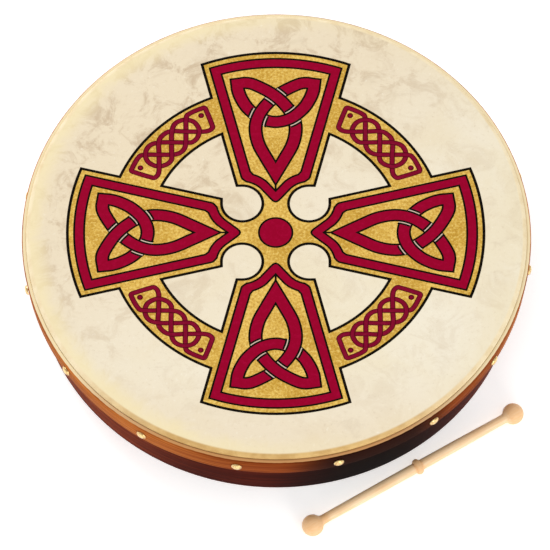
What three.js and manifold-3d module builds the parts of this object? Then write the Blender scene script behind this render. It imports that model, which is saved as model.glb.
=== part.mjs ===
// A bodhran, the shallow Irish frame drum, lying on its open back with its beater beside it.
// Millimetres, +Z up. The origin is the centre of the head's top face.
// -Y is the near side of the drum, +X its right.

import * as THREE from 'three';
import { mergeVertices } from 'three/addons/utils/BufferGeometryUtils.js';
import Module from 'manifold-3d';

// Drum
const DRUM_RADIUS = 228.6;          // outside of the tack hoop: an 18 inch drum
const DRUM_DEPTH = 76;              // head's top face to the shell's back rim
const FIT_GAP = 0.3;                // between pieces that touch
const RING_STEPS = 72;

// Tack hoop, the thin wooden band that the tacks go through
const HOOP_THICKNESS = 3.8;
const HOOP_HEIGHT = 22;
const HOOP_DROP = 3.6;              // its top edge sits this far below the head
const HOOP_EDGE_ROUND = 0.8;
const HOOP_TO_SKIN = 0.6;

// Goatskin head
const SKIN_THICKNESS = 1.2;
const SKIN_BEND_RADIUS = 3.5;       // outside of the bend over the shell's edge
const SKIN_HEM = 1;                 // how far the skirt stops short of the hoop's lower edge

// Shell
const SHELL_WALL = 9;
const SHELL_INNER_ROUND = 4;        // inside of the bearing edge
const SHELL_BACK_ROUND = 1.5;

// Crossbars, half-lapped at the centre, with their ends let into the shell
const BAR_WIDTH = 24;
const BAR_THICKNESS = 12;
const BAR_ROUND = 3;
const BAR_RECESS = 6;               // back rim to the bars' underside
const MORTISE_DEPTH = 5;

// Brass dome-headed tacks
const TACK_FIRST_ANGLE = 13.8;      // degrees from +X
// Each tack is set by eye, a little off its even place, in degrees.
const TACK_OFFSETS = [0.4, -0.6, 0.8, -0.2, 0.5, -0.9, 0.3, -0.4, 0.7, 0.3, 1, 0.3, -0.6, -0.1, -2.4, -0.8];
const TACK_HEAD_RADIUS = 4.6;
const TACK_HEAD_HEIGHT = 2.6;
const TACK_RIM = 0.5;
const TACK_SHANK_RADIUS = 0.8;
const TACK_SHANK_LENGTH = 11;
const TACK_POINT_LENGTH = 3;
const TACK_STEPS = 10;

// Beater, turned from one piece
const BEATER_BALL_RADIUS = 9.6;
const BEATER_NECK_RADIUS = 4.3;
const BEATER_WAIST_RADIUS = 4.8;    // the shaft swells a little towards the collar
const BEATER_COLLAR_RADIUS = 7.2;
const BEATER_COLLAR_LENGTH = 6;
const BEATER_LONG_ARM = 107.8;      // collar to the near ball's centre
const BEATER_SHORT_ARM = 100;       // collar to the far ball's centre
const BEATER_COLLAR_AT = [124.5, -206.4];
const BEATER_ANGLE = 30.3;          // degrees from +X
const BEATER_STEPS = 24;

const BACK_Z = -DRUM_DEPTH;
const HOOP_INNER_RADIUS = DRUM_RADIUS - HOOP_THICKNESS;
const HOOP_TOP_Z = -HOOP_DROP;
const HOOP_BOTTOM_Z = HOOP_TOP_Z - HOOP_HEIGHT;
const SKIN_RADIUS = HOOP_INNER_RADIUS - HOOP_TO_SKIN;
const SHELL_RADIUS = SKIN_RADIUS - SKIN_THICKNESS - FIT_GAP;
const SHELL_INNER_RADIUS = SHELL_RADIUS - SHELL_WALL;
const SHELL_TOP_Z = -SKIN_THICKNESS - FIT_GAP;
const SHELL_OUTER_ROUND = SKIN_BEND_RADIUS - SKIN_THICKNESS - FIT_GAP;
const MORTISE_FLOOR = SHELL_INNER_RADIUS + MORTISE_DEPTH;
const BAR_Z = BACK_Z + BAR_RECESS + BAR_THICKNESS / 2;

const wasm = await Module();
wasm.setup();

// Solids

function toManifold(geometry) {
  const bare = geometry.clone();
  bare.deleteAttribute('normal');
  bare.deleteAttribute('uv');
  const merged = mergeVertices(bare, 1e-4);
  return new wasm.Manifold(new wasm.Mesh({
    numProp: 3,
    vertProperties: new Float32Array(merged.attributes.position.array),
    triVerts: new Uint32Array(merged.index.array),
  }));
}

function toGeometry(manifold) {
  const mesh = manifold.getMesh();
  const geometry = new THREE.BufferGeometry();
  geometry.setAttribute('position', new THREE.BufferAttribute(new Float32Array(mesh.vertProperties), 3));
  geometry.setIndex(new THREE.BufferAttribute(new Uint32Array(mesh.triVerts), 1));
  geometry.computeVertexNormals();
  return geometry;
}

function cut(geometry, tools) {
  return toGeometry(tools.reduce((solid, tool) => solid.subtract(toManifold(tool)), toManifold(geometry)));
}

// A quarter turn, or any other arc, as points of a profile.
function arc(x, y, radius, fromDegrees, toDegrees, steps) {
  const points = [];
  for (let i = 0; i <= steps; i += 1) {
    const angle = THREE.MathUtils.degToRad(fromDegrees + (toDegrees - fromDegrees) * i / steps);
    points.push(new THREE.Vector2(x + radius * Math.cos(angle), y + radius * Math.sin(angle)));
  }
  return points;
}

// Turns a profile of (radius, height) points about +Z.
function revolve(profile, steps) {
  return new THREE.LatheGeometry(profile, steps).rotateX(Math.PI / 2);
}

function revolveRing(profile) {
  return revolve([...profile, profile[0].clone()], RING_STEPS);
}

function boxAt(size, centre) {
  return new THREE.BoxGeometry(...size).translate(...centre);
}

// Each tack's bore through the hoop and skin and into the shell.

function tackAngle(index) {
  const evenAngle = TACK_FIRST_ANGLE + index * 360 / TACK_OFFSETS.length;
  return THREE.MathUtils.degToRad(evenAngle + TACK_OFFSETS[index]);
}

function tackBores() {
  const inner = DRUM_RADIUS - TACK_SHANK_LENGTH;
  const outer = DRUM_RADIUS + 2;
  const radius = TACK_SHANK_RADIUS + FIT_GAP;
  return TACK_OFFSETS.map((_, index) => new THREE
    .CylinderGeometry(radius, radius, outer - inner, 8)
    .rotateZ(-Math.PI / 2)
    .translate((inner + outer) / 2, 0, (HOOP_TOP_Z + HOOP_BOTTOM_Z) / 2)
    .rotateZ(tackAngle(index)));
}

// Pieces

function shell() {
  const inner = SHELL_INNER_RADIUS;
  const outer = SHELL_RADIUS;
  const ring = revolveRing([
    ...arc(inner + SHELL_BACK_ROUND, BACK_Z + SHELL_BACK_ROUND, SHELL_BACK_ROUND, 180, 270, 2),
    ...arc(outer - SHELL_BACK_ROUND, BACK_Z + SHELL_BACK_ROUND, SHELL_BACK_ROUND, 270, 360, 2),
    ...arc(outer - SHELL_OUTER_ROUND, SHELL_TOP_Z - SHELL_OUTER_ROUND, SHELL_OUTER_ROUND, 0, 90, 3),
    ...arc(inner + SHELL_INNER_ROUND, SHELL_TOP_Z - SHELL_INNER_ROUND, SHELL_INNER_ROUND, 90, 180, 3),
  ]);
  const width = BAR_WIDTH + 2 * FIT_GAP;
  const height = BAR_THICKNESS + 2 * FIT_GAP;
  const mortises = [0, 1, 2, 3].map((quarter) => boxAt(
    [2 * MORTISE_DEPTH, width, height],
    [MORTISE_FLOOR - MORTISE_DEPTH, 0, BAR_Z],
  ).rotateZ(quarter * Math.PI / 2));
  return cut(ring, [...mortises, ...tackBores()]);
}

function head() {
  const outside = SKIN_BEND_RADIUS;
  const inside = SKIN_BEND_RADIUS - SKIN_THICKNESS;
  const bendX = SKIN_RADIUS - outside;
  const hemZ = HOOP_BOTTOM_Z + SKIN_HEM;
  const skin = revolve([
    new THREE.Vector2(0, -SKIN_THICKNESS),
    ...arc(bendX, -outside, inside, 90, 0, 3),
    new THREE.Vector2(SKIN_RADIUS - SKIN_THICKNESS, hemZ),
    new THREE.Vector2(SKIN_RADIUS, hemZ),
    ...arc(bendX, -outside, outside, 0, 90, 3),
    new THREE.Vector2(0, 0),
  ], RING_STEPS);
  return cut(skin, tackBores());
}

function tackHoop() {
  const inner = HOOP_INNER_RADIUS;
  const round = HOOP_EDGE_ROUND;
  const band = revolveRing([
    new THREE.Vector2(inner, HOOP_BOTTOM_Z),
    ...arc(DRUM_RADIUS - round, HOOP_BOTTOM_Z + round, round, 270, 360, 1),
    ...arc(DRUM_RADIUS - round, HOOP_TOP_Z - round, round, 0, 90, 1),
    new THREE.Vector2(inner, HOOP_TOP_Z),
  ]);
  return cut(band, tackBores());
}

function crossbar(notchSide) {
  const halfWidth = BAR_WIDTH / 2;
  const halfThickness = BAR_THICKNESS / 2;
  const section = new THREE.Shape();
  const corners = [
    ...arc(halfWidth - BAR_ROUND, halfThickness - BAR_ROUND, BAR_ROUND, 0, 90, 3),
    ...arc(BAR_ROUND - halfWidth, halfThickness - BAR_ROUND, BAR_ROUND, 90, 180, 3),
    ...arc(BAR_ROUND - halfWidth, BAR_ROUND - halfThickness, BAR_ROUND, 180, 270, 3),
    ...arc(halfWidth - BAR_ROUND, BAR_ROUND - halfThickness, BAR_ROUND, 270, 360, 3),
  ];
  section.setFromPoints(corners);
  const length = 2 * (MORTISE_FLOOR - FIT_GAP);
  const bar = new THREE.ExtrudeGeometry(section, { depth: length, bevelEnabled: false })
    .translate(0, 0, -length / 2)
    .rotateX(Math.PI / 2)
    .rotateZ(Math.PI / 2);
  const notch = boxAt(
    [BAR_WIDTH + 2 * FIT_GAP, BAR_WIDTH + 2, BAR_THICKNESS],
    [0, 0, notchSide * (BAR_THICKNESS / 2 - FIT_GAP / 2)],
  );
  return cut(bar, [notch]);
}

// The tack points along -X, with its head's flat underside at x = 0.
function tack() {
  const shankEnd = TACK_SHANK_LENGTH - TACK_POINT_LENGTH;
  const crown = Array.from({ length: 4 }, (_, i) => {
    const angle = i / 4 * Math.PI / 2;
    const height = TACK_RIM + (TACK_HEAD_HEIGHT - TACK_RIM) * Math.sin(angle);
    return new THREE.Vector2(TACK_HEAD_RADIUS * Math.cos(angle), height);
  });
  return revolve([
    new THREE.Vector2(0, -TACK_SHANK_LENGTH),
    new THREE.Vector2(TACK_SHANK_RADIUS, -shankEnd),
    new THREE.Vector2(TACK_SHANK_RADIUS, 0),
    new THREE.Vector2(TACK_HEAD_RADIUS, 0),
    ...crown,
    new THREE.Vector2(0, TACK_HEAD_HEIGHT),
  ], TACK_STEPS).rotateY(Math.PI / 2);
}

// The beater lies along X, with its collar at the origin.
function beater() {
  const ball = BEATER_BALL_RADIUS;
  const neck = BEATER_NECK_RADIUS;
  const waist = BEATER_WAIST_RADIUS;
  const half = BEATER_COLLAR_LENGTH / 2;
  const neckAngle = THREE.MathUtils.radToDeg(Math.asin(neck / ball));
  const bead = Array.from({ length: 5 }, (_, i) => {
    const angle = Math.PI * i / 4;
    const radius = waist + (BEATER_COLLAR_RADIUS - waist) * Math.sin(angle);
    return new THREE.Vector2(radius, -half * Math.cos(angle));
  });
  return revolve([
    ...arc(0, -BEATER_LONG_ARM, ball, -90, 90 - neckAngle, 8),
    ...bead,
    ...arc(0, BEATER_SHORT_ARM, ball, neckAngle - 90, 90, 8),
  ], BEATER_STEPS).rotateY(Math.PI / 2);
}

// Materials

function material(color, roughness, metalness = 0) {
  return new THREE.MeshStandardMaterial({ color, roughness, metalness });
}

const goatskin = material(0xe9dfca, 0.6);
const stainedWood = material(0x3a1712, 0.35);
const hoopWood = material(0x6b2f18, 0.4);
const plainWood = material(0xb98a58, 0.6);
const brass = material(0xb8924a, 0.3, 1);
const beech = material(0xe6bd8c, 0.5);

// Assembly

const drum = new THREE.Group();

function add(name, geometry, look, place = () => {}) {
  const mesh = new THREE.Mesh(geometry, look);
  mesh.name = name;
  place(mesh);
  drum.add(mesh);
}

add('shell', shell(), stainedWood);
add('head', head(), goatskin);
add('tack_hoop', tackHoop(), hoopWood);

add('crossbar_left_right', crossbar(1), plainWood, (mesh) => {
  mesh.position.z = BAR_Z;
});
add('crossbar_near_far', crossbar(-1), plainWood, (mesh) => {
  mesh.position.z = BAR_Z;
  mesh.rotation.z = Math.PI / 2;
});

for (let index = 0; index < TACK_OFFSETS.length; index += 1) {
  const angle = tackAngle(index);
  add(`tack_${String(index + 1).padStart(2, '0')}`, tack(), brass, (mesh) => {
    mesh.position.set(
      (DRUM_RADIUS + FIT_GAP) * Math.cos(angle),
      (DRUM_RADIUS + FIT_GAP) * Math.sin(angle),
      (HOOP_TOP_Z + HOOP_BOTTOM_Z) / 2,
    );
    mesh.rotation.z = angle;
  });
}

add('beater', beater(), beech, (mesh) => {
  mesh.position.set(...BEATER_COLLAR_AT, BACK_Z + BEATER_BALL_RADIUS);
  mesh.rotation.z = THREE.MathUtils.degToRad(BEATER_ANGLE);
});

export default drum;
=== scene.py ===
"""A bodhran on its open back, with its beater beside it. Metres, +Z up, -Y towards the camera."""

from math import asin, atan2, cos, degrees, floor, hypot, pi, radians, sin

import bmesh
import bpy
from mathutils import Matrix, Vector
from mathutils.geometry import delaunay_2d_cdt, intersect_line_line_2d, tessellate_polygon


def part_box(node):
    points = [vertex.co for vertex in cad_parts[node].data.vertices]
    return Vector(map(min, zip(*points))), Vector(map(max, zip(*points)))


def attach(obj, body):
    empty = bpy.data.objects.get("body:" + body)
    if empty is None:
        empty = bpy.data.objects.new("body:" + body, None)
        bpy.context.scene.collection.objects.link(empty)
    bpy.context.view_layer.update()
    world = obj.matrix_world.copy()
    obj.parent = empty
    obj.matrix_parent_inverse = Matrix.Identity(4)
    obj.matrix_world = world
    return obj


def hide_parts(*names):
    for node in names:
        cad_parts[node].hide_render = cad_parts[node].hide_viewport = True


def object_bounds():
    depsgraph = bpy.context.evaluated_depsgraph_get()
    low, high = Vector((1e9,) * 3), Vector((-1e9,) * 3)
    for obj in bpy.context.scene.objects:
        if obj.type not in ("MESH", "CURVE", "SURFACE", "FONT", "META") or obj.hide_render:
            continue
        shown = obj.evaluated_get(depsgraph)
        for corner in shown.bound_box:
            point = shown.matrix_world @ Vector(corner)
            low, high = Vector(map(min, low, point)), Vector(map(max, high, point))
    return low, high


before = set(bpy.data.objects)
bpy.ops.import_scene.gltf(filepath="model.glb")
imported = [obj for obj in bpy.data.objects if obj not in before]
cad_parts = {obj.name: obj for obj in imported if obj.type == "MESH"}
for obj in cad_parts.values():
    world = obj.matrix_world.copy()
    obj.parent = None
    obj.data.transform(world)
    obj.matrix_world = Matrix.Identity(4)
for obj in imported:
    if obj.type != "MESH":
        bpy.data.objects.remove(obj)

MM = 0.001
CAD_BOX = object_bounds()

# Places that the frame gives

SKIN_LOW, SKIN_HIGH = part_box("head")
SHELL_LOW, SHELL_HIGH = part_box("shell")
HOOP_LOW, HOOP_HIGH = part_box("tack_hoop")
BAR_LOW, BAR_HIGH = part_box("crossbar_left_right")
BEATER_LOW, BEATER_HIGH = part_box("beater")
BACK_Z = SHELL_LOW[2]
HOOP_RADIUS = HOOP_HIGH[0]
SKIN_RADIUS = SKIN_HIGH[0]
SHELL_RADIUS = SHELL_HIGH[0]

# Sizes that the boxes don't hold

RING_STEPS = 256                # sides of the drum's rings
ON_AXIS = 0.001 * MM            # a point nearer to the axis than this is on it
SHARP_EDGE = radians(35)        # edges that turn more than this are shaded sharp
GAP = 0.3 * MM                  # play between pieces that meet
HOOP_THICKNESS = 3.8 * MM
HOOP_EDGE_ROUND = 1.1 * MM
SKIN_THICKNESS = 1.2 * MM
SKIN_BEND = 3.5 * MM
SKIN_BULGE = 0.55 * MM          # the skin swells this far over the hoop before it dives behind it
SKIN_BULGE_DROP = 3.1 * MM      # and is widest this far below its face
SHELL_WALL = 9 * MM
SHELL_INNER_ROUND = 4 * MM
SHELL_BACK_ROUND = 1.5 * MM
PLY = 1.5 * MM
MORTISE_LEAD = 5 * MM           # a mortise is cut from this far inside the shell's wall
BAR_ROUND = 3 * MM
TACK_HEAD_RADIUS = 4.6 * MM
TACK_HEAD_HEIGHT = 2.6 * MM
TACK_SHANK_RADIUS = 0.8 * MM
TACK_SHANK_LENGTH = 11 * MM
TACK_POINT_LENGTH = 3 * MM
BORE_START = 1.4 * MM           # a tack's bore is cut from this far outside its head's underside
BORE_END = 0.6 * MM             # to this far past its point
BALL_RADIUS = (BEATER_HIGH[2] - BEATER_LOW[2]) / 2
NECK_RADIUS = 4.3 * MM
WAIST_RADIUS = 4.8 * MM
COLLAR_RADIUS = 7.2 * MM
COLLAR_LENGTH = 6 * MM
BEATER_LONG_ARM = 107.8 * MM
BEATER_SHORT_ARM = 100 * MM
BEATER_FILLET = 0.6 * MM        # between each neck and its ball
LIMB_STEPS = 10


# Meshes

def arc(x, y, radius, start, end, steps):
    """Points of an arc of a profile, with its angles in degrees."""
    angles = [radians(start + (end - start) * i / steps) for i in range(steps + 1)]
    return [(x + radius * cos(a), y + radius * sin(a)) for a in angles]


def mesh_object(name, bm):
    """An object from the bmesh of a closed shape, smooth except across its sharp edges."""
    bmesh.ops.recalc_face_normals(bm, faces=bm.faces)
    mesh = bpy.data.meshes.new(name)
    bm.to_mesh(mesh)
    bm.free()
    mesh.shade_smooth()
    mesh.set_sharp_from_angle(angle=SHARP_EDGE)
    obj = bpy.data.objects.new(name, mesh)
    bpy.context.scene.collection.objects.link(obj)
    return obj


def turned(name, profile, steps, closed=False):
    """A profile of (radius, height) points turned about +Z. A point on the axis closes that end, and a closed
    profile goes back to its start."""
    bm = bmesh.new()
    angles = [2 * pi * i / steps for i in range(steps)]
    rings = []
    for radius, height in profile:
        if radius < ON_AXIS:
            rings.append([bm.verts.new((0, 0, height))])
        else:
            rings.append([bm.verts.new((radius * cos(a), radius * sin(a), height)) for a in angles])
    for low, high in zip(rings, rings[1:] + rings[:1] if closed else rings[1:]):
        for i in range(steps):
            k = i + 1
            corners = [low[i % len(low)], low[k % len(low)], high[k % len(high)], high[i % len(high)]]
            bm.faces.new(tuple(dict.fromkeys(corners)))
    return mesh_object(name, bm)


def cut(obj, cutters):
    """Takes the cutters' solids out of obj, and deletes them."""
    bm = bmesh.new()
    for cutter in cutters:
        bm.from_mesh(cutter.data)
        bpy.data.objects.remove(cutter)
    tool = mesh_object("cutter", bm)
    modifier = obj.modifiers.new("cut", "BOOLEAN")
    modifier.operation = "DIFFERENCE"
    modifier.solver = "EXACT"
    modifier.object = tool
    graph = bpy.context.evaluated_depsgraph_get()
    shape = bpy.data.meshes.new_from_object(obj.evaluated_get(graph))
    obj.modifiers.clear()
    obj.data = shape
    bpy.data.objects.remove(tool)
    shape.set_sharp_from_angle(angle=SHARP_EDGE)


def box_cutter(low, high, angle=0.0):
    bm = bmesh.new()
    bmesh.ops.create_cube(bm, size=1)
    size = Vector(high) - Vector(low)
    middle = (Vector(high) + Vector(low)) / 2
    place = Matrix.Rotation(angle, 4, "Z") @ Matrix.Translation(middle) @ Matrix.Diagonal((*size, 1))
    bmesh.ops.transform(bm, matrix=place, verts=bm.verts)
    return mesh_object("box", bm)


# Node materials

class Look:
    """A node material, with short calls for the nodes that these materials share."""

    def __init__(self, name, **values):
        self.material = bpy.data.materials.new(name)
        self.material.use_nodes = True
        self.tree = self.material.node_tree
        self.shader = self.tree.nodes["Principled BSDF"]
        self.coordinates = self.tree.nodes.new("ShaderNodeTexCoord").outputs["Object"]
        for socket, value in values.items():
            self.shader.inputs[socket.replace("_", " ")].default_value = value

    def feed(self, socket, value):
        if hasattr(value, "node"):
            self.tree.links.new(value, socket)
        else:
            socket.default_value = value

    def to(self, name, value):
        self.feed(self.shader.inputs[name], value)

    def node(self, kind, inputs=(), output=0, **settings):
        made = self.tree.nodes.new(kind)
        for key, value in settings.items():
            setattr(made, key, value)
        for key, value in dict(inputs).items():
            self.feed(made.inputs[key], value)
        return made.outputs[output]

    def maths(self, operation, *values):
        return self.node("ShaderNodeMath", enumerate(values), operation=operation)

    def noise(self, scale, detail=4, roughness=0.55, vector=None, distortion=0):
        source = self.coordinates if vector is None else vector
        inputs = {"Vector": source, "Scale": scale, "Detail": detail,
                  "Roughness": roughness, "Distortion": distortion}
        return self.node("ShaderNodeTexNoise", inputs)

    def stretch(self, x, y, z, vector=None):
        source = self.coordinates if vector is None else vector
        return self.node("ShaderNodeMapping", {"Vector": source, "Scale": (x, y, z)})

    def span(self, value, low, high, to_low=0.0, to_high=1.0):
        """value's stretch from low to high becomes to_low to to_high, with soft ends."""
        inputs = {"Value": value, "From Min": low, "From Max": high, "To Min": to_low, "To Max": to_high}
        return self.node("ShaderNodeMapRange", inputs, interpolation_type="SMOOTHSTEP")

    def mix(self, factor, first, second):
        inputs = {0: factor, 6: first, 7: second}
        return self.node("ShaderNodeMix", inputs, output=2, data_type="RGBA")

    def multiply(self, factor, first, second):
        inputs = {0: factor, 6: first, 7: second}
        return self.node("ShaderNodeMix", inputs, output=2, data_type="RGBA", blend_type="MULTIPLY")

    def axes(self):
        parts = self.tree.nodes.new("ShaderNodeSeparateXYZ")
        self.feed(parts.inputs[0], self.coordinates)
        return parts.outputs

    def radius(self):
        x, y, _ = self.axes()
        squares = self.maths("ADD", self.maths("MULTIPLY", x, x), self.maths("MULTIPLY", y, y))
        return self.maths("SQRT", squares)

    def round_grain(self):
        """Coordinates that run round a bent ring: along it, across it and through it. The ends meet at +Y."""
        x, y, z = self.axes()
        angle = self.maths("ARCTAN2", x, self.maths("MULTIPLY", y, -1.0))
        along = self.maths("MULTIPLY", angle, SHELL_RADIUS)
        return self.node("ShaderNodeCombineXYZ", {0: along, 1: z, 2: self.radius()})

    def bump(self, height, distance, strength=1.0):
        inputs = {"Height": height, "Distance": distance, "Strength": strength}
        self.to("Normal", self.node("ShaderNodeBump", inputs))


def rgb(red, green, blue):
    """An sRGB colour from 0 to 255 as the linear colour that a shader takes."""
    def linear(value):
        value /= 255
        return value / 12.92 if value <= 0.04045 else ((value + 0.055) / 1.055) ** 2.4
    return (linear(red), linear(green), linear(blue), 1)


def skin_grain(look):
    """The pebbled surface and low ripples of scraped goatskin, on the bare skin and under the inks."""
    pores = look.noise(900, 3, 0.6)
    ripples = look.noise(55, 3, 0.5)
    height = look.maths("ADD", look.maths("MULTIPLY", pores, 0.5), ripples)
    look.bump(height, 0.25 * MM, 0.35)


def towards_front(look):
    """From 0 to 1 where the rim comes round to the front of the drum, which sets where painted shade darkens
    the rim.
    """
    _, y, _ = look.axes()
    wobble = look.maths("MULTIPLY", look.maths("SUBTRACT", look.noise(30, 4, 0.6), 0.5), 0.03)
    return look.span(look.maths("ADD", y, wobble), -0.125, -0.215)


def skin_colour(look):
    """Cream skin with smoky smudges on the far left, a warmer near side, a fine grain, a yellow margin."""
    x, y, _ = look.axes()
    far_left = look.maths("SUBTRACT", look.maths("MULTIPLY", y, 0.75), look.maths("MULTIPLY", x, 0.6))
    cloud = look.noise(8, 5, 0.6, distortion=0.6)
    smudge = look.noise(38, 7, 0.7, distortion=0.7)
    grain = look.noise(260, 6, 0.75)
    colour = look.mix(look.span(cloud, 0.38, 0.64), rgb(242, 233, 212), rgb(238, 226, 198))
    warm = look.span(far_left, -0.12, 0.12, 0.0, 0.9)
    colour = look.mix(warm, colour, rgb(233, 217, 188))
    smoke_reach = look.span(far_left, -0.06, 0.16, 0.25, 1.0)
    smoke = look.maths("MULTIPLY", smoke_reach, look.span(smudge, 0.47, 0.64))
    colour = look.mix(look.maths("MULTIPLY", smoke, 0.85), colour, rgb(202, 180, 150))
    near_side = look.span(y, -0.13, -0.21, 0.0, 0.6)
    colour = look.mix(near_side, colour, rgb(232, 214, 184))
    streak = look.noise(12, 8, 0.72, look.stretch(1.0, 1.8, 1.0), distortion=1.2)
    colour = look.mix(look.span(streak, 0.56, 0.72, 0.0, 0.45), colour, rgb(214, 198, 172))
    colour = look.mix(look.span(grain, 0.54, 0.74, 0.0, 0.34), colour, rgb(190, 168, 138))
    colour = look.mix(look.span(grain, 0.44, 0.28, 0.0, 0.5), colour, rgb(252, 246, 230))
    wobble = look.maths("MULTIPLY", look.maths("SUBTRACT", smudge, 0.5), 0.03)
    edge = look.maths("ADD", look.radius(), wobble)
    margin = look.span(edge, SKIN_RADIUS - 22 * MM, SKIN_RADIUS - 3 * MM, 0.0, 0.7)
    left = look.span(x, 0.10, -0.10, 0.15, 1.0)
    return look.mix(look.maths("MULTIPLY", margin, left), colour, rgb(244, 228, 180))


def raw_side_colour(look):
    """The skin's rougher inner side: tan, blotched and fibrous."""
    patches = look.noise(16, 6, 0.6, distortion=0.8)
    fibres = look.noise(300, 4, 0.7)
    colour = look.mix(look.span(patches, 0.35, 0.68), rgb(222, 203, 168), rgb(196, 170, 130))
    return look.mix(look.span(fibres, 0.55, 0.75, 0.0, 0.3), colour, rgb(168, 140, 102))


def skin_look():
    """Goatskin: scraped outside, raw inside, and cream where it bends down over the shell, turning ochre
    towards the front partly in its own tint and partly as painted shade.
    """
    look = Look("goatskin", Roughness=0.6, Specular_IOR_Level=0.2)
    flat_radius = SKIN_RADIUS - SKIN_BEND
    colour = skin_colour(look)
    worn = look.noise(60, 4, 0.6)
    # The bend's ochre at the front is partly the skin's own tint and partly painted shade, where the bend
    # turns away from the light.
    ochre = look.mix(look.span(worn, 0.35, 0.7), rgb(222, 186, 122), rgb(200, 160, 98))
    cream = look.mix(look.span(worn, 0.35, 0.7), rgb(246, 230, 194), rgb(234, 212, 168))
    bend = look.span(look.radius(), flat_radius - 0.8 * MM, flat_radius + 1.2 * MM)
    colour = look.mix(bend, colour, look.mix(towards_front(look), cream, ochre))
    _, _, z = look.axes()
    within = look.span(look.radius(), flat_radius, flat_radius - 0.5 * MM)
    underside = look.maths("MULTIPLY", within, look.span(z, -0.5 * MM, -0.9 * MM))
    look.to("Base Color", look.mix(underside, colour, raw_side_colour(look)))
    skin_grain(look)
    return look.material


def gold_look():
    """A mottled ink that drifts between pale and deep gold."""
    look = Look("ink_gold", Roughness=0.6, Specular_IOR_Level=0.08)
    drift = look.noise(22, 4, 0.6)
    grain = look.noise(420, 3, 0.6)
    speck = look.noise(800, 2, 0.5)
    colour = look.mix(look.span(drift, 0.36, 0.64), rgb(232, 192, 94), rgb(206, 162, 62))
    colour = look.mix(look.span(grain, 0.48, 0.66, 0.0, 0.5), colour, rgb(172, 124, 40))
    colour = look.mix(look.span(grain, 0.50, 0.34, 0.0, 0.5), colour, rgb(250, 222, 136))
    colour = look.mix(look.span(speck, 0.52, 0.68, 0.0, 0.5), colour, rgb(164, 116, 38))
    look.to("Base Color", colour)
    skin_grain(look)
    return look.material


def ink_look(name, full, worn):
    """A plain printed ink, thinner where the skin's grain shows through."""
    look = Look(f"ink_{name}", Roughness=0.65, Specular_IOR_Level=0.03)
    wear = look.noise(240, 5, 0.7)
    look.to("Base Color", look.mix(look.span(wear, 0.45, 0.75), full, worn))
    skin_grain(look)
    return look.material


def ring_wood(name, light, dark):
    """Stained wood bent round a ring, with its colour and its fibres."""
    look = Look(name, Roughness=0.55, Specular_IOR_Level=0.012)
    grain = look.round_grain()
    fibre = look.noise(1.0, 5, 0.6, look.stretch(14, 420, 420, grain))
    figure = look.noise(1.0, 6, 0.6, look.stretch(5, 90, 90, grain), distortion=0.8)
    colour = look.mix(look.span(fibre, 0.35, 0.68), light, dark)
    colour = look.mix(look.span(figure, 0.42, 0.7, 0.0, 0.6), colour, dark)
    return look, colour, fibre


def towards(look, azimuth, start, end):
    """From 0 to 1 as the azimuth in degrees is neared, between two cosines of the angle that is left."""
    x, y, _ = look.axes()
    angle = radians(azimuth)
    across = look.maths("MULTIPLY", x, cos(angle) / HOOP_RADIUS)
    away = look.maths("MULTIPLY", y, sin(angle) / HOOP_RADIUS)
    return look.span(look.maths("ADD", across, away), start, end)


def hoop_look():
    """Brown wood with a scuffed upper edge, with painted shade that takes it nearly black at the right of the
    front and darkens the edge towards the front.
    """
    look, colour, fibre = ring_wood("hoop_wood", rgb(200, 120, 54), rgb(146, 72, 26))
    # Painted shade: the wood darkens round to the right of the front and goes nearly black there.
    painted_shade_colour = look.multiply(1.0, colour, (0.50, 0.34, 0.26, 1))
    colour = look.mix(towards(look, 290, 0.60, 0.94), colour, painted_shade_colour)
    colour = look.mix(towards(look, 292, 0.93, 0.99), colour, rgb(36, 10, 4))
    scuff = look.noise(170, 4, 0.6)
    ragged = look.maths("MULTIPLY", look.maths("SUBTRACT", scuff, 0.5), 0.8 * MM)
    _, _, z = look.axes()
    high = look.span(look.maths("ADD", z, ragged), HOOP_HIGH[2] - 0.9 * MM, HOOP_HIGH[2] - 0.5 * MM)
    rim = look.span(look.maths("ADD", look.radius(), ragged), HOOP_RADIUS - 0.7 * MM, HOOP_RADIUS - 1.1 * MM)
    # The scuffed edge is pale bare wood; its darker tone towards the front is painted shade.
    bare = look.mix(towards_front(look), rgb(240, 222, 182), rgb(196, 146, 96))
    look.to("Base Color", look.mix(look.maths("MULTIPLY", high, rim), colour, bare))
    look.bump(fibre, 0.12 * MM, 0.3)
    return look.material


def shell_look():
    """Red-brown wood with painted shade that makes it darkest at the right of the front, with its plies bare
    along the back edge.
    """
    look, colour, fibre = ring_wood("shell_wood", rgb(130, 54, 24), rgb(86, 26, 12))
    # Painted shade: the wood darkens round to the right of the front and goes nearly black there.
    painted_shade_colour = look.multiply(1.0, colour, (0.36, 0.22, 0.22, 1))
    colour = look.mix(towards(look, 285, 0.60, 0.86), colour, painted_shade_colour)
    colour = look.mix(towards(look, 292, 0.86, 0.985), colour, rgb(10, 4, 3))
    plies = look.maths("SINE", look.maths("MULTIPLY", look.radius(), 2 * pi / PLY))
    layered = look.mix(look.span(plies, -0.3, 0.3), rgb(150, 98, 62), rgb(104, 58, 34))
    _, _, z = look.axes()
    rim = look.span(z, BACK_Z + 0.9 * MM, BACK_Z + 0.4 * MM)
    look.to("Base Color", look.mix(rim, colour, layered))
    look.bump(fibre, 0.12 * MM, 0.3)
    return look.material


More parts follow.
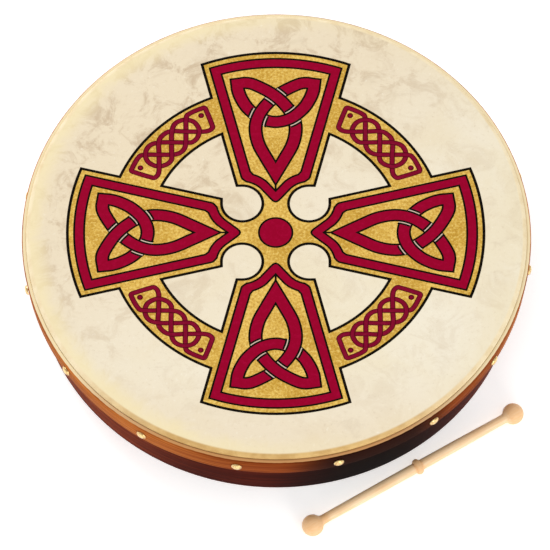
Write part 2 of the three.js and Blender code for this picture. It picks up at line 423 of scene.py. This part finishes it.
def bar_look(node, along_x):
    """Straight-grained wood, with its grain along X or Y."""
    look = Look(f"{node}_wood", Roughness=0.5, Specular_IOR_Level=0.1)
    dark, light = rgb(92, 46, 20), rgb(142, 82, 40)
    fine = (18, 500, 500) if along_x else (500, 18, 500)
    broad = (5, 70, 70) if along_x else (70, 5, 70)
    fibre = look.noise(1.0, 5, 0.6, look.stretch(*fine))
    figure = look.noise(1.0, 5, 0.6, look.stretch(*broad), distortion=0.6)
    colour = look.mix(look.span(fibre, 0.3, 0.7), dark, light)
    look.to("Base Color", look.mix(look.span(figure, 0.4, 0.72, 0.0, 0.6), colour, dark))
    look.bump(fibre, 0.12 * MM, 0.35)
    return look.material


def brass_look():
    """Brass with patches of brown, rougher patina."""
    look = Look("tack_brass", Metallic=1.0)
    patina = look.noise(420, 5, 0.65)
    colour = look.mix(look.span(patina, 0.4, 0.7), rgb(240, 210, 150), rgb(170, 126, 70))
    look.to("Base Color", colour)
    look.to("Roughness", look.span(patina, 0.3, 0.75, 0.2, 0.42))
    look.bump(look.noise(260, 2, 0.5), 0.2 * MM, 0.4)
    return look.material


def beech_look(angle, middle):
    """Pale beech with short flecks along the beater, given its angle from X and its bead's place. Its balls
    are redder, where the turning cuts across the grain, and its bead is redder as painted shade."""
    look = Look("beech", Roughness=0.42, Specular_IOR_Level=0.4)
    turned_back = look.node("ShaderNodeMapping", {"Vector": look.coordinates, "Rotation": (0, 0, -angle)})
    fibre = look.noise(1.0, 5, 0.6, look.stretch(30, 620, 620, turned_back))
    flecks = look.noise(1.0, 2, 0.5, look.stretch(160, 1500, 1500, turned_back))
    cloud = look.noise(40, 3, 0.5)
    colour = look.mix(look.span(fibre, 0.3, 0.72), rgb(255, 226, 186), rgb(248, 204, 152))
    colour = look.mix(look.span(flecks, 0.62, 0.72, 0.0, 0.4), colour, rgb(222, 162, 106))
    colour = look.mix(look.span(cloud, 0.4, 0.7, 0.0, 0.3), colour, rgb(240, 190, 136))
    x, y, _ = look.axes()
    along = look.maths("ADD", look.maths("MULTIPLY", x, cos(angle)), look.maths("MULTIPLY", y, sin(angle)))
    bead_along = middle.x * cos(angle) + middle.y * sin(angle)
    away = look.maths("ABSOLUTE", look.maths("SUBTRACT", along, bead_along))
    ball = look.span(away, BEATER_SHORT_ARM - BALL_RADIUS, BEATER_SHORT_ARM - BALL_RADIUS / 2)
    bead = look.span(away, COLLAR_LENGTH, COLLAR_LENGTH / 2)
    # The redder balls are end grain; the redder bead is painted shade.
    end_grain_and_bead_shade = look.maths("MULTIPLY", look.maths("MAXIMUM", ball, bead), 0.6)
    look.to("Base Color", look.mix(end_grain_and_bead_shade, colour, rgb(238, 182, 122)))
    look.bump(fibre, 0.08 * MM, 0.3)
    return look.material


# The print on the head: a ringed cross. Its unit is half the cross's width, with u to the right and v away.

INKS = ["black", "gold", "crimson", "wine", "maroon", "pale"]
PRINT_HALF_WIDTH = 187.6 * MM
PRINT_HALF_HEIGHT = 184 * MM
PRINT_CENTRE = (-0.7 * MM, -8.2 * MM)
PRINT_TAPER = 0.04              # the print grows by this share for each unit away
MITRE_LIMIT = 0.35              # least cosine of half a turn that a mitred corner follows
OUTLINE = 0.0138                # width of the line round the cross
FINE_LINE = 0.0096              # width of the lines inside it
TIP_LINE = 0.010                # width of the line from each long lobe's tip to its frame
BAND_WIDTH = 0.050              # of the large knots
BAND_GAP = 0.005                # width of the pale line beside a band that passes over
PLAIT_WIDTH = 0.0165            # of the ring panels' bands
PLAIT_LINE = 0.0048
PLAIT_COLUMN = 0.046            # from one column of a panel's crossings to the next
RING_OUTER = 0.805
RING_INNER = 0.603
RING_MIDDLE = (RING_OUTER + RING_INNER) / 2
NOTCH_PLACE = 0.160             # centre of each round notch, along u and v
NOTCH_RADIUS = 0.099
BOSS_RADIUS = 0.080
INK_RISE = 0.08 * MM            # the inks stand this much proud of the skin
INK_SOAK = 0.1 * MM             # and soak this far into it
CELL = 4 * MM                   # side of the squares that painted shapes are sorted into
MERGE_GAP = 0.001 * MM          # points of the print nearer than this are one point

painted = []                    # (ink, triangle) in the order in which they are laid down
ruled = []                      # chains of points along the edges of what is painted


def place_on_skin(u, v):
    """The skin's (x, y) for a place in the print's own units."""
    stretch = 1 / (1 - PRINT_TAPER * v)
    x = PRINT_CENTRE[0] + PRINT_HALF_WIDTH * u * stretch
    y = PRINT_CENTRE[1] + PRINT_HALF_HEIGHT * v * stretch
    return (x, y)


def signed_area(points):
    """A closed outline's area, positive where it runs anticlockwise."""
    return sum(a[0] * b[1] - b[0] * a[1] for a, b in zip(points, points[1:] + points[:1])) / 2


def paint(ink, triangle):
    painted.append((ink, triangle if signed_area(triangle) > 0 else triangle[::-1]))


def fill(ink, points):
    """Paints the inside of an outline that doesn't cross itself."""
    placed = [place_on_skin(u, v) for u, v in points]
    ruled.append(placed + placed[:1])
    for corners in tessellate_polygon([[Vector((x, y, 0)) for x, y in placed]]):
        paint(ink, [placed[i] for i in corners])


def turn_quarter(points, quarter):
    """Turns points clockwise by that many quarter turns."""
    for _ in range(quarter):
        points = [(v, -u) for u, v in points]
    return points


def mirrored(points):
    """points and then their mirror image, back to the start, for an outline that is even about u = 0."""
    return points + [(-u, v) for u, v in reversed(points) if u > 1e-6]


def direction(start, end):
    du, dv = end[0] - start[0], end[1] - start[1]
    length = hypot(du, dv) or 1.0
    return du / length, dv / length


def sides(path, half, closed):
    """The path's left and right sides at that distance, with mitred corners."""
    count = len(path)
    left, right = [], []
    for i, (u, v) in enumerate(path):
        before = path[i - 1] if closed or i else path[0]
        after = path[(i + 1) % count] if closed or i < count - 1 else path[-1]
        into = direction(before, (u, v)) if before != (u, v) else direction((u, v), after)
        out = direction((u, v), after) if after != (u, v) else into
        normal = (-into[1] - out[1], into[0] + out[0])
        size = hypot(*normal) or 1.0
        normal = (normal[0] / size, normal[1] / size)
        lean = max(MITRE_LIMIT, -into[1] * normal[0] + into[0] * normal[1])
        reach = half / lean
        left.append((u + normal[0] * reach, v + normal[1] * reach))
        right.append((u - normal[0] * reach, v - normal[1] * reach))
    return left, right


def offset(outline, distance):
    """A closed outline moved outwards by distance, or inwards where it is negative."""
    left, right = sides(outline, abs(distance), True)
    return right if (signed_area(outline) > 0) == (distance > 0) else left


def stroke(ink, path, width, closed=False):
    """Paints a band of that width along a path."""
    left, right = ([place_on_skin(*point) for point in side] for side in sides(path, width / 2, closed))
    if closed:
        left, right = left + left[:1], right + right[:1]
        ruled.extend([left, right])
    else:
        ruled.append(left + right[::-1] + left[:1])
    for a, b, c, d in zip(left, left[1:], right[1:], right):
        paint(ink, [a, b, c])
        paint(ink, [a, c, d])


def lined(outline, line, outside, inside):
    """Fills an outline: its line in one ink and what is inside the line in another."""
    fill(outside, offset(outline, line / 2))
    fill(inside, offset(outline, -line / 2))


def spline(points, steps=9):
    """A Catmull-Rom curve through points, from the first to the last."""
    first = (2 * points[0][0] - points[1][0], 2 * points[0][1] - points[1][1])
    last = (2 * points[-1][0] - points[-2][0], 2 * points[-1][1] - points[-2][1])
    through = [first] + points + [last]
    curve = []
    for a, b, c, d in zip(through, through[1:], through[2:], through[3:]):
        for i in range(steps):
            t = i / steps
            curve.append(tuple(
                q + 0.5 * t * (r - p + t * (2 * p - 5 * q + 4 * r - s) + t * t * (3 * q - p - 3 * r + s))
                for p, q, r, s in zip(a, b, c, d)))
    return curve + [points[-1]]


def joined(*curves):
    """Curves that meet end to end, as one closed path with a corner at each meeting."""
    return [point for curve in curves for point in curve[:-1]]


def crossings(paths):
    """Each place where two stretches of the closed paths cross: the point and both (path, step) pairs."""
    steps = [(p, i) for p, path in enumerate(paths) for i in range(len(path))]
    found = []
    for n, (p, i) in enumerate(steps):
        a, b = Vector(paths[p][i]), Vector(paths[p][(i + 1) % len(paths[p])])
        for q, k in steps[n + 2:]:
            if p == q and (k + 1) % len(paths[q]) == i:
                continue
            c, d = Vector(paths[q][k]), Vector(paths[q][(k + 1) % len(paths[q])])
            point = intersect_line_line_2d(a, b, c, d)
            if point is not None:
                found.append((tuple(point), (p, i), (q, k)))
    return found


def stretch_of(path, step, reach):
    """The part of a closed path that lies within reach of a step, each way along it."""
    part = [path[step], path[(step + 1) % len(path)]]
    for way, k in ((-1, step), (1, step + 1)):
        length = 0.0
        while length < reach:
            here, there = path[k % len(path)], path[(k + way) % len(path)]
            length += hypot(there[0] - here[0], there[1] - here[1])
            part.insert(0 if way < 0 else len(part), there)
            k += way
    return part


def below(polygon, origin, normal, limit):
    """The part of a convex polygon that lies less than limit beyond origin, along normal."""
    heights = [(u - origin[0]) * normal[0] + (v - origin[1]) * normal[1] - limit for u, v in polygon]
    kept = []
    for i, (here, height) in enumerate(zip(polygon, heights)):
        before, height_before = polygon[i - 1], heights[i - 1]
        if (height < 0) != (height_before < 0):
            share = height_before / (height_before - height)
            kept.append(tuple(a + (b - a) * share for a, b in zip(before, here)))
        if height < 0:
            kept.append(here)
    return kept


def fill_across(ink, part, width, origin, way, reach):
    """Paints a band only where it lies over another, which runs through origin that way and has that reach
    to each side."""
    left, right = sides(part, width / 2, False)
    for quad in zip(left, left[1:], right[1:], right):
        piece = below(list(quad), origin, (-way[1], way[0]), reach)
        piece = below(piece, origin, (way[1], -way[0]), reach) if piece else []
        if len(piece) > 2:
            fill(ink, piece)


def knot(paths, width, line, inks, is_over, bend, gap=0.0):
    """Interlaced bands along closed paths. is_over(point, way) says if the band that runs that way passes
    over at a crossing, and bend carries the paths' own coordinates to the cross's. gap is the width of the
    pale line that parts the upper band from the lower one."""
    outline_ink, band_ink = inks
    for ink, broad in ((outline_ink, width + 2 * line), (band_ink, width)):
        for path in paths:
            stroke(ink, [bend(*point) for point in path], broad, closed=True)
    for point, *strands in crossings(paths):
        ways = [direction(paths[p][i], paths[p][(i + 1) % len(paths[p])]) for p, i in strands]
        on_top = 0 if is_over(point, ways[0]) else 1
        p, i = strands[on_top]
        sine = abs(ways[0][0] * ways[1][1] - ways[0][1] * ways[1][0])
        part = [bend(*at) for at in stretch_of(paths[p], i, (1.1 * width + line) / max(sine, 0.5))]
        if gap:
            centre = bend(*point)
            lower_way = direction(centre, bend(*(a + 0.001 * b for a, b in zip(point, ways[1 - on_top]))))
            reach = width / 2 + line / 3
            fill_across(outline_ink, part, width + 4 * line + 2 * gap, centre, lower_way, reach)
            fill_across("pale", part, width + 2 * line + 2 * gap, centre, lower_way, reach)
        stroke(outline_ink, part, width + 2 * line)
        stroke(band_ink, part, width)


def eased(path, reach):
    """A closed path whose sharp corners are rounded over that distance."""
    count = len(path)
    ways = [direction(path[i], path[(i + 1) % count]) for i in range(count)]
    turns = [ways[i - 1][0] * ways[i][0] + ways[i - 1][1] * ways[i][1] for i in range(count)]
    sharp = [i for i in range(count) if turns[i] < cos(radians(35))]
    result = []
    for i, (u, v) in enumerate(path):
        if i in sharp:
            start = (u - ways[i - 1][0] * reach, v - ways[i - 1][1] * reach)
            end = (u + ways[i][0] * reach, v + ways[i][1] * reach)
            for t in (0, 0.2, 0.4, 0.6, 0.8, 1):
                result.append(tuple((1 - t) ** 2 * a + 2 * t * (1 - t) * b + t * t * c
                                    for a, b, c in zip(start, (u, v), end)))
        elif all(hypot(u - path[k][0], v - path[k][1]) > reach for k in sharp):
            result.append((u, v))
    return result


def cross_outline():
    """The cross's silhouette without its ring, clockwise from the top arm's left corner."""
    quarter = arc(0, 0, 0.994, 90 + 20.8, 90 - 20.8, 20)
    quarter += [(0.185, 0.2585)]
    quarter += arc(NOTCH_PLACE, NOTCH_PLACE, NOTCH_RADIUS, 90, 360, 40)
    quarter += [(0.2585, 0.185)]
    return [point for turn in range(4) for point in turn_quarter(quarter, turn)]


def frame_outer():
    """The outside of an arm's crimson frame, for the top arm."""
    right = arc(0, 0, 0.962, 90, 90 - 19.2, 14)
    right += spline([(0.167, 0.318), (0.160, 0.298), (0.1388, 0.2801)], 4)
    right += arc(NOTCH_PLACE, NOTCH_PLACE, 0.122, 104, 138, 10)
    right += spline([(0.022, 0.185), (0.010, 0.1735), (0, 0.170)], 3)
    return mirrored(right)


def frame_inner():
    """The inside of an arm's crimson frame, for the top arm."""
    right = arc(0, 0, 0.914, 90, 90 - 16.5, 12)
    right += [(0.122, 0.337)]
    right += arc(NOTCH_PLACE, NOTCH_PLACE, 0.168, 108, 134, 8)
    right += [(0, 0.229)]
    return mirrored(right)


def three_lobed_knot():
    """One closed band with a long lobe to the centre and a lobe to each outer corner, for the top arm."""
    side = [(-0.184, 0.822), (-0.140, 0.8275), (-0.097, 0.815), (-0.019, 0.769), (0.039, 0.713),
            (0.080, 0.648), (0.096, 0.575), (0.082, 0.490), (0.043, 0.408), (0, 0.326)]
    across = [(0.184, 0.822), (0.179, 0.782), (0.162, 0.735), (0.130, 0.683), (0.072, 0.6315), (0, 0.611)]
    down = spline(side)
    up = [(-u, v) for u, v in reversed(down)]
    over = spline(across + [(-u, v) for u, v in reversed(across[:-1])])
    return joined(down, up, over)


def arm(quarter):
    """An arm's frame and knot, on the top arm for quarter 0 and clockwise from there."""
    def turned_point(u, v):
        return turn_quarter([(u, v)], quarter)[0]

    def is_over(point, way):
        """On the axis the strand that falls goes over, on the right the flatter, on the left the steeper."""
        if abs(point[0]) < 0.03:
            return way[0] * way[1] < 0
        return (abs(way[0]) > abs(way[1])) == (point[0] > 0)

    lined(turn_quarter(frame_outer(), quarter), FINE_LINE, "black", "crimson")
    lined(turn_quarter(frame_inner(), quarter), FINE_LINE, "black", "gold")
    stroke("black", turn_quarter([(0, 0.30), (0, 0.228)], quarter), TIP_LINE)
    knot([three_lobed_knot()], BAND_WIDTH, FINE_LINE, ("black", "crimson"), is_over, turned_point, BAND_GAP)


def panel_paths():
    """A ring panel's two closed bands, in distance along the ring and out from its middle line."""
    def even(points):
        return points + [(-t, s) for t, s in reversed(points)]

    lobe = [(0, 0), (0.043, 0.0445), (0.075, 0.0655), (0.109, 0.063), (0.139, 0.042), (0.1545, 0.010),
            (0.148, -0.033), (0.115, -0.0605), (0.079, -0.065), (0.050, -0.0465), (0, 0)]
    eight = joined(spline(lobe, 6), spline([(-t, s) for t, s in lobe], 6))
    low = [(0.2325, 0.0665), (0.192, 0.0705), (0.156, 0.0715), (0.136, 0.062), (0.0925, 0.0015),
           (0.051, -0.047), (0.0185, -0.068)]
    high = [(0.2175, -0.052), (0.1885, -0.057), (0.152, -0.043), (0.091, -0.0005), (0.050, 0.037),
            (0.020, 0.0555)]
    end = [(0.2175, -0.052), (0.2265, 0.0065), (0.2325, 0.0665)]
    far_end = [(-t, s) for t, s in reversed(end)]
    top = spline([(-t, s) for t, s in high] + high[::-1], 6)
    loop = joined(spline(even(low), 6), far_end, top, end)
    return [eight, eased(loop, 0.010)]


def panel(quarter, paths):
    """A braid on the ring, centred on the diagonal to the upper left for quarter 0."""
    middle = radians(135 - 90 * quarter)

    def bend(t, s):
        angle = middle - t / RING_MIDDLE
        return ((RING_MIDDLE + s) * cos(angle), (RING_MIDDLE + s) * sin(angle))

    def is_over(point, way):
        """In odd columns of the plait the band that climbs goes over, in even columns the one that falls."""
        column = round(point[0] / PLAIT_COLUMN)
        climbs = way[0] * way[1] > 0
        return climbs == (column % 2 == 1)

    knot(paths, PLAIT_WIDTH, PLAIT_LINE, ("maroon", "wine"), is_over, bend)
    for t in (-0.198, 0.198):
        centre = bend(t, 0.034)
        fill("maroon", arc(*centre, 0.0145, 0, 345, 23))
        fill("wine", arc(*centre, 0.0080, 0, 330, 11))


def ring(ink, inner, outer):
    """Paints a full ring round the print's centre."""
    radius = (inner + outer) / 2
    stroke(ink, arc(0, 0, radius, 0, 357.5, 143), outer - inner, closed=True)


def draw_print():
    """Lays down the whole print, from the ring and the cross to what is on them."""
    silhouette = cross_outline()
    half = OUTLINE / 2
    ring("black", RING_INNER - half, RING_OUTER + half)
    fill("black", offset(silhouette, half))
    ring("gold", RING_INNER + half, RING_OUTER - half)
    fill("gold", offset(silhouette, -half))
    for quarter in range(4):
        arm(quarter)
    paths = panel_paths()
    for quarter in range(4):
        panel(quarter, paths)
    lined(arc(0, 0, BOSS_RADIUS, 0, 354, 59), FINE_LINE, "black", "crimson")


def cells_under(triangle):
    """The squares that a triangle's bounds touch."""
    xs, ys = zip(*triangle)
    for column in range(floor(min(xs) / CELL), floor(max(xs) / CELL) + 1):
        for row in range(floor(min(ys) / CELL), floor(max(ys) / CELL) + 1):
            yield column, row


def covers(triangle, x, y):
    """Whether an anticlockwise triangle has the point inside it."""
    return all((bx - ax) * (y - ay) >= (by - ay) * (x - ax)
               for (ax, ay), (bx, by) in zip(triangle, triangle[1:] + triangle[:1]))


def flat_print():
    """The print as one flat mesh, in which each face's material index is its ink's place in INKS."""
    corners, edges = [], []
    for chain in ruled:
        edges += [(i, i + 1) for i in range(len(corners), len(corners) + len(chain) - 1)]
        corners += [Vector(point) for point in chain]
    points, _, faces, *_ = delaunay_2d_cdt(corners, edges, [], 0, MERGE_GAP, False)
    stacks = {}
    for ink, triangle in painted:
        for cell in cells_under(triangle):
            stacks.setdefault(cell, []).append((ink, triangle))
    bm = bmesh.new()
    verts = [bm.verts.new((*point, 0)) for point in points]
    for face in faces:
        x, y = sum((points[i] for i in face), Vector((0, 0))) / len(face)
        stack = stacks.get((floor(x / CELL), floor(y / CELL)), [])
        top = next((ink for ink, triangle in reversed(stack) if covers(triangle, x, y)), None)
        if top:
            bm.faces.new([verts[i] for i in face]).material_index = INKS.index(top)
    bm.normal_update()
    bmesh.ops.dissolve_limit(bm, angle_limit=radians(0.5), verts=bm.verts, edges=bm.edges,
                             delimit={"MATERIAL"})
    bmesh.ops.triangulate(bm, faces=bm.faces)
    return bm


# Pieces

def finish_piece(obj, nodes, body, material):
    """Gives a piece its material, its body and its slot, and the nodes that it stands for."""
    obj.data.materials.append(material)
    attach(obj, body)
    if nodes:
        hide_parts(*nodes)


def tack_frames():
    """Each tack's node, its angle round the drum, and the place of its head's flat underside."""
    nodes = sorted(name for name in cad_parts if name.startswith("tack_") and name != "tack_hoop")
    frames = []
    for node in nodes:
        low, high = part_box(node)
        middle = (Vector(low) + Vector(high)) / 2
        angle = atan2(middle.y, middle.x)
        place = Vector((cos(angle), sin(angle), 0)) * (HOOP_RADIUS + GAP) + Vector((0, 0, middle.z))
        frames.append((node, angle, place))
    return frames


def tack_bores():
    """A cutter for each tack's hole."""
    cutters = []
    for _, angle, place in tack_frames():
        bm = bmesh.new()
        length = BORE_START + TACK_SHANK_LENGTH + BORE_END
        radius = TACK_SHANK_RADIUS + GAP
        bmesh.ops.create_cone(bm, segments=16, radius1=radius, radius2=radius, depth=length, cap_ends=True)
        inward = Matrix.Translation((BORE_START - length / 2, 0, 0)) @ Matrix.Rotation(pi / 2, 4, "Y")
        matrix = Matrix.Translation(place) @ Matrix.Rotation(angle, 4, "Z") @ inward
        bmesh.ops.transform(bm, matrix=matrix, verts=bm.verts)
        cutters.append(mesh_object("bore", bm))
    return cutters


def make_head():
    """One skin: a flat face, a bend that swells over the hoop, and a skirt behind the hoop."""
    bend_x = SKIN_RADIUS - SKIN_BEND
    inner_radius = SKIN_RADIUS - SKIN_THICKNESS
    hem_round = 0.4 * MM
    flat = [(bend_x * share, 0) for share in (0, 0.25, 0.5, 0.75, 0.9, 0.97, 0.99)]
    turns = [radians(angle) for angle in range(0, 121, 10)]
    swell = SKIN_BEND + SKIN_BULGE
    profile = flat + [(bend_x + swell * sin(a), -SKIN_BULGE_DROP * (1 - cos(a))) for a in turns]
    profile += [(SKIN_RADIUS, SKIN_LOW[2] + hem_round), (SKIN_RADIUS - hem_round, SKIN_LOW[2])]
    profile += [(inner_radius, SKIN_LOW[2])]
    profile += arc(bend_x, -SKIN_BEND, SKIN_BEND - SKIN_THICKNESS, 0, 90, 6)
    profile += [(x, -SKIN_THICKNESS) for x, _ in reversed(flat)]
    head = turned("goatskin_head", profile, RING_STEPS)
    finish_piece(head, ["head"], "drum", skin_look())


def make_print():
    """A thin film on the head for each ink."""
    draw_print()
    whole = flat_print()
    looks = {"black": ink_look("black", rgb(12, 8, 4), rgb(34, 24, 12)),
             "gold": gold_look(),
             "crimson": ink_look("crimson", rgb(150, 0, 42), rgb(164, 4, 54)),
             "wine": ink_look("wine", rgb(126, 8, 42), rgb(140, 20, 54)),
             "maroon": ink_look("maroon", rgb(82, 4, 20), rgb(98, 12, 28)),
             "pale": ink_look("pale", rgb(214, 196, 176), rgb(190, 168, 146))}
    for number, ink in enumerate(INKS):
        bm = whole.copy()
        others = [face for face in bm.faces if face.material_index != number]
        bmesh.ops.delete(bm, geom=others, context="FACES")
        for face in bm.faces:
            face.material_index = 0
        bmesh.ops.translate(bm, verts=bm.verts, vec=(0, 0, -INK_SOAK))
        walls = bmesh.ops.extrude_face_region(bm, geom=bm.faces[:])["geom"]
        raised = [item for item in walls if isinstance(item, bmesh.types.BMVert)]
        bmesh.ops.translate(bm, verts=raised, vec=(0, 0, INK_SOAK + INK_RISE))
        film = mesh_object(f"print_{ink}", bm)
        finish_piece(film, [], "drum", looks[ink])
    whole.free()


def make_shell():
    """The bent ring, with a mortise for each end of the bars and a bore for each tack."""
    inner = SHELL_RADIUS - SHELL_WALL
    top = SHELL_HIGH[2]
    outer_round = SKIN_BEND - SKIN_THICKNESS - GAP
    back = SHELL_BACK_ROUND
    profile = arc(inner + back, BACK_Z + back, back, 180, 270, 5)
    profile += arc(SHELL_RADIUS - back, BACK_Z + back, back, 270, 360, 5)
    profile += arc(SHELL_RADIUS - outer_round, top - outer_round, outer_round, 0, 90, 5)
    profile += arc(inner + SHELL_INNER_ROUND, top - SHELL_INNER_ROUND, SHELL_INNER_ROUND, 90, 180, 6)
    shell = turned("shell_ring", profile, RING_STEPS, closed=True)
    half_width = BAR_HIGH[1] + GAP
    low = (inner - MORTISE_LEAD, -half_width, BAR_LOW[2] - GAP)
    high = (BAR_HIGH[0] + GAP, half_width, BAR_HIGH[2] + GAP)
    mortises = [box_cutter(low, high, quarter * pi / 2) for quarter in range(4)]
    cut(shell, mortises + tack_bores())
    finish_piece(shell, ["shell"], "drum", shell_look())


def make_hoop():
    """The tacked band round the skirt, with its edges rounded."""
    inner = HOOP_RADIUS - HOOP_THICKNESS
    edge = HOOP_EDGE_ROUND
    low, high = HOOP_LOW[2], HOOP_HIGH[2]
    profile = arc(inner + edge, low + edge, edge, 180, 270, 3)
    profile += arc(HOOP_RADIUS - edge, low + edge, edge, 270, 360, 3)
    profile += arc(HOOP_RADIUS - edge, high - edge, edge, 0, 90, 3)
    profile += arc(inner + edge / 2, high - edge / 2, edge / 2, 90, 180, 3)
    hoop = turned("tack_hoop_band", profile, RING_STEPS, closed=True)
    cut(hoop, tack_bores())
    finish_piece(hoop, ["tack_hoop"], "drum", hoop_look())


def make_tacks():
    """Dome-headed tacks, each with a hollow under its head and a pointed shank."""
    brass = brass_look()
    shank_end = TACK_SHANK_LENGTH - TACK_POINT_LENGTH
    rim = 0.35 * MM
    rise = TACK_HEAD_HEIGHT - rim
    crown = [(TACK_HEAD_RADIUS * cos(radians(a)), rim + rise * sin(radians(a))) for a in range(0, 90, 9)]
    hollow = [(TACK_SHANK_RADIUS, 0.5 * MM), (TACK_HEAD_RADIUS - 0.5 * MM, 0)]
    profile = [(0, -TACK_SHANK_LENGTH), (TACK_SHANK_RADIUS, -shank_end)] + hollow
    profile += [(TACK_HEAD_RADIUS, 0)] + crown + [(0, TACK_HEAD_HEIGHT)]
    for node, angle, place in tack_frames():
        tack = turned(f"{node}_domed", profile, 40)
        outward = Matrix.Rotation(angle, 4, "Z") @ Matrix.Rotation(pi / 2, 4, "Y")
        tack.matrix_world = Matrix.Translation(place) @ outward
        finish_piece(tack, [node], "drum", brass)


def make_bar(node, along_x, notch_above):
    """A rounded crossbar, with half its height notched out where the other one crosses it."""
    low, high = (Vector(corner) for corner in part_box(node))
    half_length = high[0] if along_x else high[1]
    half_width = high[1] if along_x else high[0]
    bottom, top = low[2], high[2]
    middle = (bottom + top) / 2
    reach = half_width - BAR_ROUND
    section = []
    for x, z, start in ((reach, top - BAR_ROUND, 0), (-reach, top - BAR_ROUND, 90),
                        (-reach, bottom + BAR_ROUND, 180), (reach, bottom + BAR_ROUND, 270)):
        section += arc(x, z, BAR_ROUND, start, start + 90, 6)
    bm = bmesh.new()
    stations = [-half_length, -half_length / 2, 0, half_length / 2, half_length]
    rings = [[bm.verts.new((at, y, z)) for y, z in section] for at in stations]
    count = len(section)
    for one, two in zip(rings, rings[1:]):
        for i in range(count):
            k = (i + 1) % count
            bm.faces.new([one[i], one[k], two[k], two[i]])
    bm.faces.new(rings[0])
    bm.faces.new(rings[-1])
    if not along_x:
        bmesh.ops.rotate(bm, verts=bm.verts, matrix=Matrix.Rotation(pi / 2, 3, "Z"))
    bar = mesh_object(f"{node}_bar", bm)
    width, past = half_width + GAP, half_width + 2 * MM
    span = (width, past) if along_x else (past, width)
    if notch_above:
        notch = box_cutter((-span[0], -span[1], middle - GAP / 2), (span[0], span[1], top + MM))
    else:
        notch = box_cutter((-span[0], -span[1], bottom - MM), (span[0], span[1], middle + GAP / 2))
    cut(bar, [notch])
    finish_piece(bar, [node], "drum", bar_look(node, along_x))


def beater_limb(length):
    """A limb's (radius, distance) points from the bead to its ball, which has its middle at that length."""
    taper = length - BALL_RADIUS - COLLAR_LENGTH / 2
    points = [(NECK_RADIUS + (WAIST_RADIUS - NECK_RADIUS) * sin(pi / 2 * i / LIMB_STEPS),
               length - BALL_RADIUS - taper * i / LIMB_STEPS) for i in range(LIMB_STEPS - 1, 0, -1)]
    neck_angle = degrees(asin(NECK_RADIUS / BALL_RADIUS))
    points += [(NECK_RADIUS, length - BALL_RADIUS - BEATER_FILLET)]
    points += arc(0, length, BALL_RADIUS, neck_angle - 84, 90, 24)
    return points[:-1] + [(0, length + BALL_RADIUS)]


def make_beater():
    """One turned stick: a long limb, a rounded bead and a short limb, laid between the corners of its box."""
    proud = COLLAR_RADIUS - WAIST_RADIUS
    turns = [radians(angle) for angle in range(0, 181, 12)]
    bead = [(WAIST_RADIUS + proud * sin(a), -COLLAR_LENGTH / 2 * cos(a)) for a in turns]
    long_limb = [(radius, -distance) for radius, distance in reversed(beater_limb(BEATER_LONG_ARM))]
    profile = long_limb + bead + beater_limb(BEATER_SHORT_ARM)
    beater = turned("turned_beater", profile, 64)
    low, high = Vector(BEATER_LOW), Vector(BEATER_HIGH)
    near_end = Vector((low.x + BALL_RADIUS, low.y + BALL_RADIUS, low.z + BALL_RADIUS))
    far_end = Vector((high.x - BALL_RADIUS, high.y - BALL_RADIUS, near_end.z))
    along = (far_end - near_end).normalized()
    angle = atan2(along.y, along.x)
    place = near_end + along * BEATER_LONG_ARM
    lying = Matrix.Rotation(angle, 4, "Z") @ Matrix.Rotation(pi / 2, 4, "Y")
    beater.data.transform(Matrix.Translation(place) @ lying)
    finish_piece(beater, ["beater"], "beater", beech_look(angle, place))


# Stage, lights and camera

CAMERA_PLACE = Vector((-1.3 * MM, -0.8762, 1.631))
CAMERA_AIM = Vector((-1.3 * MM, -50.8 * MM, 0))
CAMERA_LENS = 135.06
FLOOR_HALF_SIZE = 4


def make_floor():
    """White studio paper, lit a little from within so that the drum's shadow stays soft."""
    bm = bmesh.new()
    bmesh.ops.create_grid(bm, x_segments=1, y_segments=1, size=FLOOR_HALF_SIZE)
    bmesh.ops.translate(bm, verts=bm.verts, vec=(0, 0, CAD_BOX[0][2]))
    paper = mesh_object("floor", bm)
    look = Look("floor_paper", Roughness=0.9, Specular_IOR_Level=0.1)
    tone = look.noise(3, 2, 0.5)
    look.to("Base Color", look.mix(tone, (0.95, 0.95, 0.95, 1), (0.98, 0.98, 0.98, 1)))
    look.to("Emission Color", (1, 1, 1, 1))
    look.to("Emission Strength", 0.42)
    paper.data.materials.append(look.material)


def make_light(name, place, aim, size, power, colour):
    data = bpy.data.lights.new(name, "AREA")
    data.shape = "DISK"
    data.size = size
    data.energy = power
    data.color = colour
    light = bpy.data.objects.new(name, data)
    light.location = place
    light.rotation_euler = (Vector(aim) - Vector(place)).to_track_quat("-Z", "Y").to_euler()
    bpy.context.scene.collection.objects.link(light)


def make_camera():
    data = bpy.data.cameras.new("camera")
    data.lens = CAMERA_LENS
    data.sensor_width = 36
    data.clip_end = 20
    camera = bpy.data.objects.new("camera", data)
    camera.location = CAMERA_PLACE
    camera.rotation_euler = (CAMERA_AIM - CAMERA_PLACE).to_track_quat("-Z", "Y").to_euler()
    bpy.context.scene.collection.objects.link(camera)
    bpy.context.scene.camera = camera


def make_studio():
    scene = bpy.context.scene
    scene.view_settings.view_transform = "Standard"
    world = bpy.data.worlds.new("studio")
    scene.world = world
    world.use_nodes = True
    background = world.node_tree.nodes["Background"]
    background.inputs["Color"].default_value = (1, 1, 1, 1)
    background.inputs["Strength"].default_value = 0.80
    make_light("key", (-1.1, 1.2, 1.6), (0, 0, 0), 0.8, 15, (1.0, 0.98, 0.95))
    make_light("front", (0.5, -1.1, 0.3), (0.1, -0.25, -0.06), 0.5, 3, (1.0, 0.96, 0.9))


make_camera()
make_studio()
make_floor()
make_head()
make_print()
make_shell()
make_hoop()
make_tacks()
make_bar("crossbar_left_right", True, True)
make_bar("crossbar_near_far", False, False)
make_beater()
